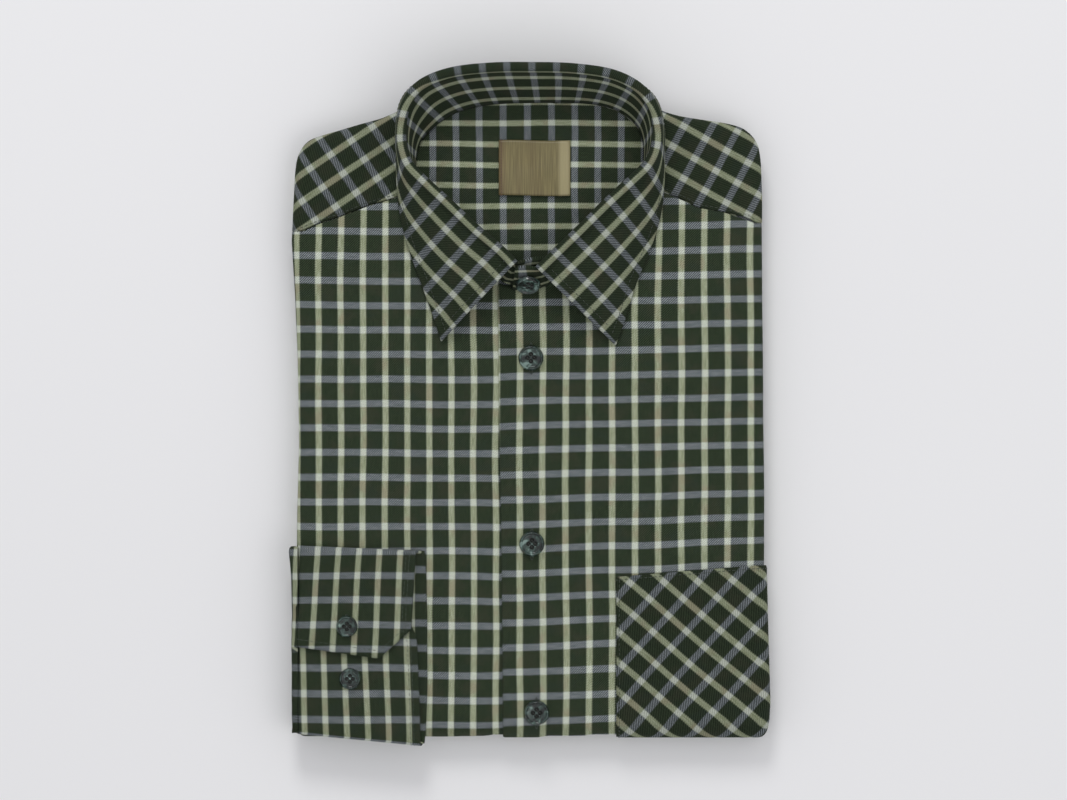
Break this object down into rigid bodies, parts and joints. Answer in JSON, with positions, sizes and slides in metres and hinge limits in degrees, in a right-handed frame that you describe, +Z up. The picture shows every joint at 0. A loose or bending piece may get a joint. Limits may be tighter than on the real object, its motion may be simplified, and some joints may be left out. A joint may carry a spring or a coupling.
{
  "type": "folded flannel shirt",
  "caption": "Long-sleeved shirt in dark green checked flannel, folded flat for sale, collar buttoned, one cuff laid on the front.",
  "frame": {"origin": "centre of the bounding box in plan, on the surface that the folded shirt lies on", "axes": "+Z up out of the front, +Y towards the collar, +X towards the wearer's left side"},
  "size_m": [0.2584, 0.3669, 0.0482],
  "materials": {
    "flannel": "matte",
    "label_satin": "satin",
    "button_resin": "gloss"
  },
  "bodies": {
    "root": {"folded_layers": "flannel", "front_left": "flannel", "front_right": "flannel", "yoke": "flannel", "inner_yoke": "flannel", "label": "label_satin", "collar_stand": "flannel", "collar_leaf": "flannel", "pocket": "flannel", "cuff_right": "flannel", "sleeve_right": "flannel", "button_neck": "button_resin", "button_front_1": "button_resin", "button_front_2": "button_resin", "button_front_3": "button_resin", "button_cuff_1": "button_resin", "button_cuff_2": "button_resin"}
  },
  "joints": []
}
